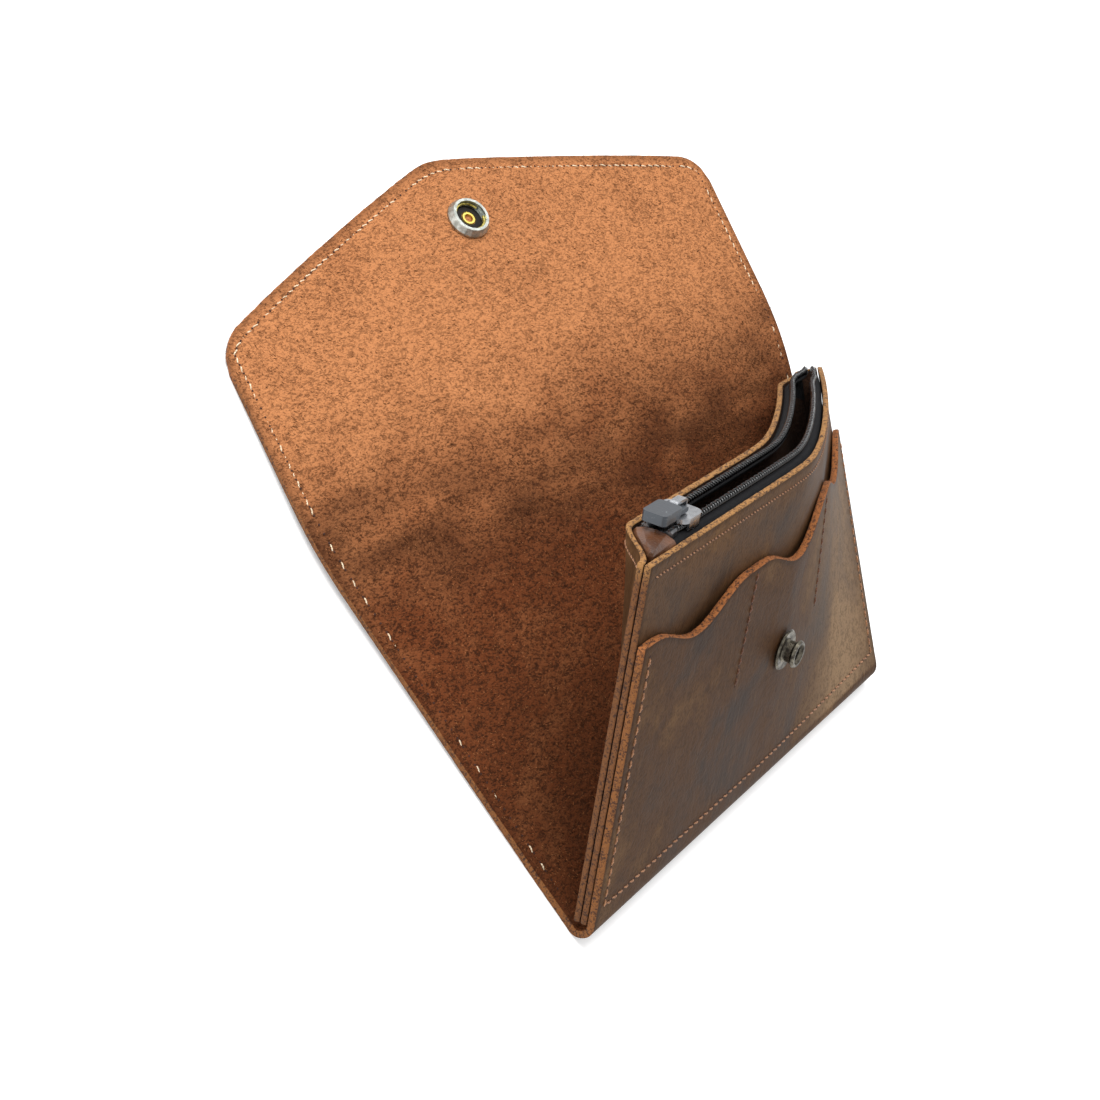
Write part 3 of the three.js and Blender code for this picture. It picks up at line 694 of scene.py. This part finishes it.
def tube(path, radii, sides=6, first_aside=(0, 0, 1)):
    """Points and faces of a round closed rod along a path, with a radius at each of its points."""
    path = np.asarray(path, float)
    ahead = unit(np.gradient(path, axis=0))
    aside = np.asarray(first_aside, float)
    rings = []
    for spot, onward, radius in zip(path, ahead, np.broadcast_to(radii, len(path))):
        aside = aside - onward * aside.dot(onward)
        aside = aside / max(1e-9, math.sqrt(aside.dot(aside)))
        other = np.cross(onward, aside)
        turns = np.arange(sides) * 2 * math.pi / sides
        rings.append(spot + radius * (np.cos(turns)[:, None] * aside + np.sin(turns)[:, None] * other))
    faces = []
    for ring in range(len(path) - 1):
        for k in range(sides):
            a, b = ring * sides + k, ring * sides + (k + 1) % sides
            faces.append((a, b, b + sides, a + sides))
    faces.append(tuple(range(sides - 1, -1, -1)))
    faces.append(tuple(range((len(path) - 1) * sides, len(path) * sides)))
    return np.concatenate(rings), faces


def gather(parts):
    """Several lots of points and faces as one."""
    points, faces, start = [], [], 0
    for part_points, part_faces in parts:
        points.append(part_points)
        faces += [tuple(v + start for v in face) for face in part_faces]
        start += len(part_points)
    return np.concatenate(points), faces


def lengths_of(path):
    """How far along a path of points each of them is."""
    return np.concatenate([[0], np.cumsum(np.linalg.norm(np.diff(path, axis=0), axis=1))])


def along_path(spots, lengths, values):
    """The values at spots along a path, from those at its points. The lengths are the points' own."""
    return np.stack([np.interp(spots, lengths, values[:, k]) for k in range(3)], -1)


nylon, tree, shader, place = start_finish(
    "black nylon", Roughness=0.12, Coat_Weight=0.7, Coat_Roughness=0.05
)
worn = cloudy(tree, place, 300.0, 3.0)
row_colour = mixed(tree, spread(tree, worn, 0.4, 0.75), tint(8, 8, 9), tint(26, 26, 28))
tree.links.new(row_colour, shader.inputs["Base Color"])
relief(tree, shader, cloudy(tree, place, 1500.0), 0.00004, 0.5)
coil_level = pouch_height + seam_gap + coil_height / 2
for side, name in zip_sides:
    centre_line = stack_point(zip_shares, coil_level, row_inward(zip_shares, side))
    lengths = lengths_of(centre_line)
    length = lengths[-1]
    turns = int(length / coil_turn)
    spots = np.linspace(0, length, turns * points_a_turn)
    centres = along_path(spots, lengths, centre_line)
    share_at = np.interp(spots / length, np.linspace(0, 1, len(zip_shares)), zip_shares)
    upward = heading(stack_angle(share_at), 0 * share_at)
    inwards = -stack_outward(share_at)
    turn = 2 * math.pi * spots / coil_turn
    wide, high = coil_width / 2 - coil_wire, coil_height / 2 - coil_wire
    swing, climb = wide * np.cos(turn), high * np.sin(turn) * side
    spiral = centres + inwards * swing[:, None] + upward * climb[:, None]
    coil = make_piece(f"zip_row_{name}", *tube(spiral, coil_wire), [nylon])
    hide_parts(f"zipper_coil_{name}")


# The end tab and the stops.
# A tab of smooth tan leather covers the closed end of the tapes, folded over and sewn down.
# Bent metal staples are pressed on both ends of each row, so that the slider can't run off.
soft_edge_steps = 3
sharpest_soft_bend = 30


def soften(node, width):
    """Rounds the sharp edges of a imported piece, as casting or pressing leaves them."""
    bevel = node.modifiers.new("soft edges", "BEVEL")
    bevel.width = width
    bevel.segments = soft_edge_steps
    bevel.limit_method = "ANGLE"
    bevel.angle_limit = math.radians(sharpest_soft_bend)
    bevel.harden_normals = False
    for face in node.data.polygons:
        face.use_smooth = True


def dress(name, finish, edge_width):
    """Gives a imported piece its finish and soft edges."""
    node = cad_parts[name]
    node.data.materials.clear()
    node.data.materials.append(finish)
    soften(node, edge_width)


def worn_metal(name, dark, light, roughness):
    """Plated metal with a slight cast texture and cloudy tarnish."""
    finish, tree, shader, place = start_finish(name, Metallic=1.0)
    tarnish = cloudy(tree, place, 420.0, 5.0, 0.65, 0.4)
    tree.links.new(mixed(tree, spread(tree, tarnish, 0.25, 0.75), dark, light), shader.inputs["Base Color"])
    dullness = spread(tree, tarnish, 0.3, 0.7, roughness + 0.08, roughness - 0.04)
    tree.links.new(dullness, shader.inputs["Roughness"])
    relief(tree, shader, cloudy(tree, place, 1800.0, 4.0), 0.00001, 0.6)
    return finish


tab_tan, tree, shader, place = start_finish(
    "end tab tan", Roughness=0.4, Coat_Weight=0.3, Coat_Roughness=0.2
)
look = use_effect(tree, grain, Place=place)
tab_colour = mixed(tree, spread(tree, look["Cloud"], 0.35, 0.65), tint(56, 31, 15), tint(106, 64, 34))
tree.links.new(tab_colour, shader.inputs["Base Color"])
relief(tree, shader, look["Height"], 0.0003, 0.7)
dress("zipper_end_tab", tab_tan, 0.0004)
stop_metal = worn_metal("stop metal", tint(70, 70, 72), tint(150, 150, 152), 0.35)
for stop_name in ("top_stop_front", "top_stop_back", "bottom_stop_front", "bottom_stop_back"):
    dress(f"zipper_{stop_name}", stop_metal, 0.0001)


# The slider and its pull.
# The slider is a plated zinc casting: two plates on a wedge, with a bridge that the pull hangs from.
# The pull is a short thick tag, cast and painted slate grey, and free to turn on its bar.
slider_plate = worn_metal("slider plating", tint(158, 160, 164), tint(206, 208, 212), 0.24)
dress("zipper_slider_body", slider_plate, 0.00015)
pull_paint, tree, shader, place = start_finish(
    "slate paint", Roughness=0.34, Metallic=0.35, Coat_Weight=0.25
)
chips = spread(tree, cloudy(tree, place, 700.0, 5.0, 0.7), 0.60, 0.72)
tree.links.new(mixed(tree, chips, tint(66, 71, 77), tint(128, 132, 136)), shader.inputs["Base Color"])
relief(tree, shader, cloudy(tree, place, 1200.0, 4.0), 0.00006, 0.6)
dress("zipper_pull_tab", pull_paint, 0.0003)


# The snap.
# The socket sits in the flap's suede side and the stud on the pockets, each riveted through the leather.
# The socket is nickel with a brass spring and a hollow brass post. The stud is gunmetal, brass in its bore.
socket_from_point = 0.020
stud_height = 0.042
post_radius = 0.0019
cup_radius = 0.0041
stud_bore_radius = 0.0013

rings, taken, given = start_effect(
    "distance from axis",
    [("Place", "Vector"), ("Middle", "Vector"), ("Axis", "Vector")],
    [("Radius", "Float")],
)
offset = put(rings, "VectorMath", [taken["Place"], taken["Middle"]], operation="SUBTRACT").outputs[0]
crossed = put(rings, "VectorMath", [offset, taken["Axis"]], operation="CROSS_PRODUCT").outputs[0]
away = put(rings, "VectorMath", [crossed], operation="LENGTH").outputs["Value"]
rings.links.new(away, given["Radius"])


def ringed_metal(name, middle, axis, inner, edge, cup_edge, outer_dark, outer_light, roughness):
    """Metal that is one colour at its axis, with a ring of painted shade in the cup round that, and tarnished
    outside the cup.
    """
    finish, tree, shader, place = start_finish(name, Metallic=1.0)
    spots = [put(tree, "CombineXYZ", [float(v) for v in vector]).outputs[0] for vector in (middle, axis)]
    radius = use_effect(tree, rings, Place=place, Middle=spots[0], Axis=spots[1])["Radius"]
    tarnish = cloudy(tree, place, 500.0, 5.0, 0.7, 0.5)
    outer = mixed(tree, spread(tree, tarnish, 0.35, 0.65), outer_dark, outer_light)
    # Painted shade: a dark ring in the cup.
    outer = mixed(tree, spread(tree, radius, cup_edge * 0.96, cup_edge), tint(44, 42, 40), outer)
    colour = mixed(tree, spread(tree, radius, edge, edge * 1.08), inner, outer)
    tree.links.new(colour, shader.inputs["Base Color"])
    dullness = spread(tree, tarnish, 0.3, 0.7, roughness + 0.15, roughness - 0.05)
    tree.links.new(dullness, shader.inputs["Roughness"])
    relief(tree, shader, cloudy(tree, place, 1500.0, 4.0), 0.00002, 0.5)
    return finish


socket_along = back_height + flap_side + flap_rise - socket_from_point
socket_spot = back_point(0.5, socket_along)
near_shares = np.array([[0.49, 0.51]] * 2)
near_lengths = np.array([[socket_along + 0.001] * 2, [socket_along - 0.001] * 2])
socket_axis = facing(back_point(near_shares, near_lengths))[0, 0]
stud_spot = stack_point(0.5, stud_height, 0.0)
stud_axis = stack_outward(np.array(0.5))
brass = tint(214, 196, 104)
nickel = ringed_metal(
    "socket nickel",
    socket_spot,
    socket_axis,
    brass,
    post_radius * 1.1,
    cup_radius,
    tint(150, 154, 148),
    tint(206, 210, 204),
    0.38,
)
gunmetal = ringed_metal(
    "stud gunmetal",
    stud_spot,
    stud_axis,
    tint(196, 140, 60),
    stud_bore_radius,
    stud_bore_radius * 1.3,
    tint(62, 57, 52),
    tint(128, 122, 108),
    0.28,
)
spring_brass = worn_metal("spring brass", tint(150, 130, 60), tint(230, 216, 130), 0.25)
dress("snap_cap", nickel, 0.00015)
dress("snap_socket", nickel, 0.00012)
dress("socket_spring", spring_brass, 0.00005)
dress("snap_stud", gunmetal, 0.00012)
dress("stud_eyelet", gunmetal, 0.00008)


# The seams.
# Waxed thread of two twisted plies joins the layers by machine: cream round the flap, tan on the pockets.
# Each stitch dips into a needle hole, drawn dark as painted shade, and has pulled the leather down along the
# line.
stitch_length = 0.003
stitch_gap = 0.0007
thread_radius = 0.00028
hole_radius = 0.00042
hole_levels = np.array([-0.0003, -0.00005, 0.00003, 0.00005])
side_seam_inset = 0.0034
bottom_seam_up = 0.005
mouth_stitch_length = 0.0017
flap_stitch_length = 0.0026
fine_thread_radius = 0.0002
row_thread_radius = 0.00012
divider_drop = 0.034
thread_sink = 0.00008
stitch_points = 9
stitch_slant = 0.0005
stitch_wobble = 0.00006
twists_a_stitch = 1.5


def thread_finish(name, dark, light):
    """Waxed sewing thread."""
    finish, tree, shader, place = start_finish(name, Roughness=0.6, Sheen_Weight=0.2)
    fluff = cloudy(tree, place, 2600.0, 3.0, 0.7)
    tree.links.new(mixed(tree, spread(tree, fluff, 0.35, 0.6), dark, light), shader.inputs["Base Color"])
    relief(tree, shader, fluff, 0.00006, 0.8)
    return finish


def sew(
    name,
    path,
    outward,
    thread,
    stitch=stitch_length,
    sink=thread_sink,
    slot="shell_leather",
    size=thread_radius,
    bury=0.0,
):
    """Stitches along a path on a surface, with a needle hole of painted shade between each two. They sink by
    up to bury.
    """
    path, outward = np.asarray(path), np.asarray(outward)
    lengths = lengths_of(path)
    length = lengths[-1]
    count = max(1, int(round(length / stitch)))
    step = length / count
    bury = np.broadcast_to(bury, lengths.shape)
    share = np.linspace(0, 1, stitch_points)
    plies, holes = [], []
    chance = np.random.default_rng(count)
    for k in range(count):
        ends = np.linspace(k * step + stitch_gap / 2, (k + 1) * step - stitch_gap / 2, stitch_points)
        spots = along_path(ends, lengths, path)
        up = unit(along_path(ends, lengths, outward))
        ahead = unit(np.gradient(spots, axis=0))
        aside = np.cross(ahead, up)
        deep_here = np.interp(ends[stitch_points // 2], lengths, bury) * chance.uniform(0, 1)
        rise = size * (2.0 * np.sin(np.pi * share) ** 0.6 - 1.0) - sink - deep_here
        slant = (share - 0.5) * stitch_slant + stitch_wobble * chance.uniform(-1, 1)
        line = spots + up * rise[:, None] + aside * slant[:, None]
        for ply in (0, math.pi):
            twist = 2 * math.pi * share * twists_a_stitch + ply
            off = size * 0.45
            offset = aside * (off * np.cos(twist))[:, None] + up * (off * np.sin(twist))[:, None]
            plies.append(tube(line + offset, size * 0.66, 5, up[0]))
    hole_widths = hole_radius * size / thread_radius * np.array([0.6, 1.0, 0.9, 0.3])
    for k in range(count + 1):
        spot = along_path(min(max(k * step, 1e-6), length - 1e-6), lengths, path)
        up = unit(along_path(k * step, lengths, outward))
        across_up = np.cross(up, (0.3, 0.5, 0.8))
        holes.append(tube(spot + up * hole_levels[:, None], hole_widths, 8, across_up))
    points, faces = gather(plies + holes)
    thread_faces = sum(len(part[1]) for part in plies)
    finish_of = [0] * thread_faces + [1] * (len(faces) - thread_faces)
    seam = make_piece(name, points, faces, [thread, needle_hole_shade], finish_of=finish_of)
    return seam


# The needle holes are dark discs of painted shade.
needle_hole_shade, tree, shader, place = start_finish("needle hole", Roughness=0.9, Metallic=0.0)
hole_colour = mixed(tree, cloudy(tree, place, 900.0), tint(30, 14, 8), tint(70, 34, 18))
tree.links.new(hole_colour, shader.inputs["Base Color"])
cream_thread = thread_finish("cream thread", tint(186, 160, 124), tint(238, 220, 190))
tan_thread = thread_finish("tan thread", tint(112, 70, 44), tint(178, 126, 86))
brown_thread = thread_finish("brown thread", tint(60, 33, 18), tint(112, 66, 38))

side_lengths = np.linspace(0.004, back_height + flap_side - 0.010, 60)
inset_share = flap_seam_inset / wallet_width
tip_shares = np.linspace(inset_share, 1 - inset_share, 160)
tip_lengths = back_height + flap_length(tip_shares) - flap_seam_inset / tip_slope
left_line = np.stack([inset_share + 0 * side_lengths, side_lengths], -1)
tip_line = np.stack([tip_shares, tip_lengths], -1)
right_line = np.stack([1 - inset_share + 0 * side_lengths, side_lengths], -1)[::-1]
left_line = left_line[left_line[:, 1] < tip_lengths[0]]
right_line = right_line[right_line[:, 1] < tip_lengths[-1]]
round_flap = np.concatenate([left_line, tip_line, right_line])


def on_back(line, inwards):
    """Places and outward directions of a line on one of the back's faces."""
    t, far = line[:, 0], line[:, 1]
    step = 0.0005
    ahead = back_point(t, far + step) - back_point(t, far - step)
    sideways = back_point(t + 0.002, far) - back_point(t - 0.002, far)
    into = unit(np.cross(sideways, ahead))
    spots = back_point(t, far) + into * (sheet_thickness if inwards else 0)
    return spots, into if inwards else -into


worn_everywhere = 0.00032
worn_below_crease = 0.0007
worn_in_patches = 0.0004
worn_patch_size = 0.016
crease_fade = 0.03
worn_in = worn_everywhere + worn_below_crease * (
    1 - eased(round_flap[:, 1], back_height - crease_fade, back_height + crease_fade)
)
worn_patches = unevenness(round_flap[:, 0] * wallet_width, round_flap[:, 1], worn_patch_size, 31)
worn_in += worn_in_patches * np.clip(worn_patches, 0, 1)
flap_stitches = {"stitch": flap_stitch_length, "size": fine_thread_radius}
seam_inside, seam_outside = on_back(round_flap, True), on_back(round_flap, False)
sew("flap_seam_inside", *seam_inside, cream_thread, sink=0.0001, bury=worn_in, **flap_stitches)
sew("flap_seam_outside", *seam_outside, cream_thread, sink=0.00005, **flap_stitches)


def on_stack(t, up, inward, sign):
    """Places and outward directions of a line on one face of the stack. Sign 1 looks out and -1 inward."""
    t, up, inward = np.broadcast_arrays(*(np.asarray(v, float) for v in (t, up, inward)))
    return stack_point(t, up, inward), stack_outward(t) * sign


side_share = side_seam_inset / wallet_width
left_ups = np.linspace(pocket_height - 0.003, bottom_seam_up, 40)
bottom_shares = np.linspace(side_share, 1 - side_share, 120)
left_shares = side_share + 0 * left_ups
seam_shares = np.concatenate([left_shares, bottom_shares[1:-1], 1 - left_shares])
seam_ups = np.concatenate([left_ups, bottom_seam_up + 0 * bottom_shares[1:-1], left_ups[::-1]])
sew("pocket_seam", *on_stack(seam_shares, seam_ups, 0, 1), tan_thread)
rear = pouch_rear(seam_shares, seam_ups)
sew("pocket_seam_behind", *on_stack(seam_shares, seam_ups, rear, -1), tan_thread, slot="pouch_leather")
mouth_shares = np.linspace(side_share, 1 - side_share, 160)
mouth_ups = pouch_height - mouth_seam_inset + 0 * mouth_shares
mouth_stitches = {"stitch": mouth_stitch_length, "size": fine_thread_radius, "slot": "pouch_leather"}
front_line = on_stack(mouth_shares, mouth_ups, pouch_depth(mouth_shares, mouth_ups), 1)
back_line = on_stack(mouth_shares, mouth_ups, pouch_rear(mouth_shares, mouth_ups), -1)
sew("mouth_seam_front", *front_line, tan_thread, **mouth_stitches)
sew("mouth_seam_back", *back_line, tan_thread, **mouth_stitches)
black_thread = thread_finish("black thread", tint(8, 8, 9), tint(36, 36, 38))
row_stitches = {"stitch": coil_turn * 2, "size": row_thread_radius, "slot": "zip_coil"}
row_top = pouch_height + seam_gap + coil_height + fine_thread_radius
row_upward = heading(stack_angle(zip_shares), 0 * zip_shares)
for side, name in zip_sides:
    line = stack_point(zip_shares, row_top, row_inward(zip_shares, side))
    sew(f"row_seam_{name}", line, row_upward, black_thread, **row_stitches)
for divider in range(1, slot_count):
    share = divider / slot_count
    ups = np.linspace(pocket_height - 0.001, pocket_height - divider_drop, 30)
    sew(f"divider_seam_{divider}", *on_stack(share + 0 * ups, ups, 0, 1), brown_thread)


# The frayed edges.
# Cut leather sheds short fibres along its raw edges, most of all on the scoops and the pouch mouth; here they
# are made along the pockets' top and round the flap.
# They are loose ends of the hide itself, so they have its colour.
fibre_radius = 0.00003
fibre_length = 0.0009
pocket_fibres = 1500
flap_fibres = 900


def fray(name, path, outward, beyond, thickness, count, finish):
    """Short loose fibres from a cut edge. The path is its middle, and beyond the way out of the sheet."""
    chance = np.random.default_rng(count)
    parts = []
    lengths = lengths_of(path)
    for spot in chance.uniform(0, lengths[-1], count):
        middle, up, out = (along_path(spot, lengths, values) for values in (path, outward, beyond))
        root = middle + up * thickness * chance.uniform(-0.45, 0.45)
        lean = unit(out + up * chance.uniform(-0.9, 0.9) + chance.uniform(-0.7, 0.7, 3))
        bend = unit(out + chance.uniform(-1, 1, 3))
        reach = fibre_length * chance.uniform(0.4, 1.0)
        knee = root + lean * reach * 0.5
        line = np.array([root, knee, knee + bend * reach * 0.5])
        parts.append(tube(line, fibre_radius * np.array([1.0, 0.8, 0.3]), 3, chance.uniform(-1, 1, 3)))
    return make_piece(name, *gather(parts), [finish])


edge_shares = np.linspace(0.002, 0.998, 400)
top_ups = pocket_top(edge_shares)
fray(
    "pocket_edge_fibres",
    stack_point(edge_shares, top_ups, sheet_thickness / 2),
    stack_outward(edge_shares),
    heading(stack_angle(edge_shares), 0 * edge_shares),
    sheet_thickness,
    pocket_fibres,
    shell_edge,
)
flap_line = back_point(edge_shares, back_height + flap_length(edge_shares))
flap_inward = on_back(np.stack([edge_shares, back_height + flap_length(edge_shares)], -1), True)[1]
flap_out = heading(across(flap_tilt, edge_shares), across(flap_splay, edge_shares))
fray(
    "flap_edge_fibres",
    flap_line + flap_inward * sheet_thickness / 2,
    flap_inward,
    flap_out,
    sheet_thickness,
    flap_fibres,
    shell_edge,
)


# The floor, the light and the camera.
# The wallet lies on white studio paper in soft light. The camera is turned on its side, as for the photo.
# The paper glows a little for the camera only, so that it stays white and still takes the shadow.
camera_place = (-0.4661, 0.0593, 0.3215)
camera_azimuth = -87.14
camera_elevation = 35.21
camera_roll = 54.87
focal_pixels = 2000
photo_pixels = 1100
sensor = 36.0
floor_size = 6.0
paper_glow = 0.30
sky_strength = 0.75

paper, tree, shader, place = start_finish("white paper", Roughness=0.9)
shader.inputs["Base Color"].default_value = (0.86, 0.86, 0.86, 1.0)
shader.inputs["Specular IOR Level"].default_value = 0.1
seen = put(tree, "LightPath").outputs["Is Camera Ray"]
shader.inputs["Emission Color"].default_value = (1.0, 1.0, 1.0, 1.0)
tree.links.new(calc(tree, "MULTIPLY", seen, paper_glow), shader.inputs["Emission Strength"])
floor_mesh = bpy.data.meshes.new("paper")
half = floor_size / 2
floor_corners = [(-half, -half, 0), (half, -half, 0), (half, half, 0), (-half, half, 0)]
floor_mesh.from_pydata(floor_corners, [], [(0, 1, 2, 3)])
floor_mesh.materials.append(paper)
floor = bpy.data.objects.new("paper", floor_mesh)
bpy.context.scene.collection.objects.link(floor)

scene = bpy.context.scene
scene.view_settings.view_transform = "Standard"
scene.world = scene.world or bpy.data.worlds.new("studio")
scene.world.use_nodes = True
sky = scene.world.node_tree.nodes["Background"]
sky.inputs["Color"].default_value = (1.0, 1.0, 1.0, 1.0)
seen = put(scene.world.node_tree, "LightPath").outputs["Is Camera Ray"]
glow = spread(scene.world.node_tree, seen, 0.0, 1.0, sky_strength, 1.0)
scene.world.node_tree.links.new(glow, sky.inputs["Strength"])

azimuth, elevation, roll = (math.radians(v) for v in (camera_azimuth, camera_elevation, camera_roll))
level_reach = math.cos(elevation)
ahead = Vector((-math.sin(azimuth) * level_reach, math.cos(azimuth) * level_reach, -math.sin(elevation)))
level = Vector((math.cos(azimuth), math.sin(azimuth), 0))
above = level.cross(ahead)
right = level * math.cos(roll) + above * math.sin(roll)
up = above * math.cos(roll) - level * math.sin(roll)
camera_data = bpy.data.cameras.new("camera")
camera_data.sensor_width = sensor
camera_data.lens = focal_pixels / photo_pixels * sensor
camera_data.clip_start = 0.01
camera = bpy.data.objects.new("camera", camera_data)
camera.matrix_world = Matrix.Translation(camera_place) @ Matrix((right, up, -ahead)).transposed().to_4x4()
scene.collection.objects.link(camera)
scene.camera = camera


def softbox(name, place, aim, size, power):
    """A square studio light that looks at a point."""
    lamp = bpy.data.lights.new(name, "AREA")
    lamp.shape = "SQUARE"
    lamp.size = size
    lamp.energy = power
    light = bpy.data.objects.new(name, lamp)
    light.location = place
    light.rotation_mode = "QUATERNION"
    light.rotation_quaternion = (Vector(aim) - Vector(place)).to_track_quat("-Z", "Y")
    scene.collection.objects.link(light)
    return light


middle = Vector((0, 0.09, 0.03))
softbox("key light", middle - ahead * 0.5 + up * 0.7 + right * 0.15, middle, 0.7, 9)
softbox("fill light", middle - ahead * 0.7 - up * 0.1 - right * 0.5, middle, 0.8, 4)
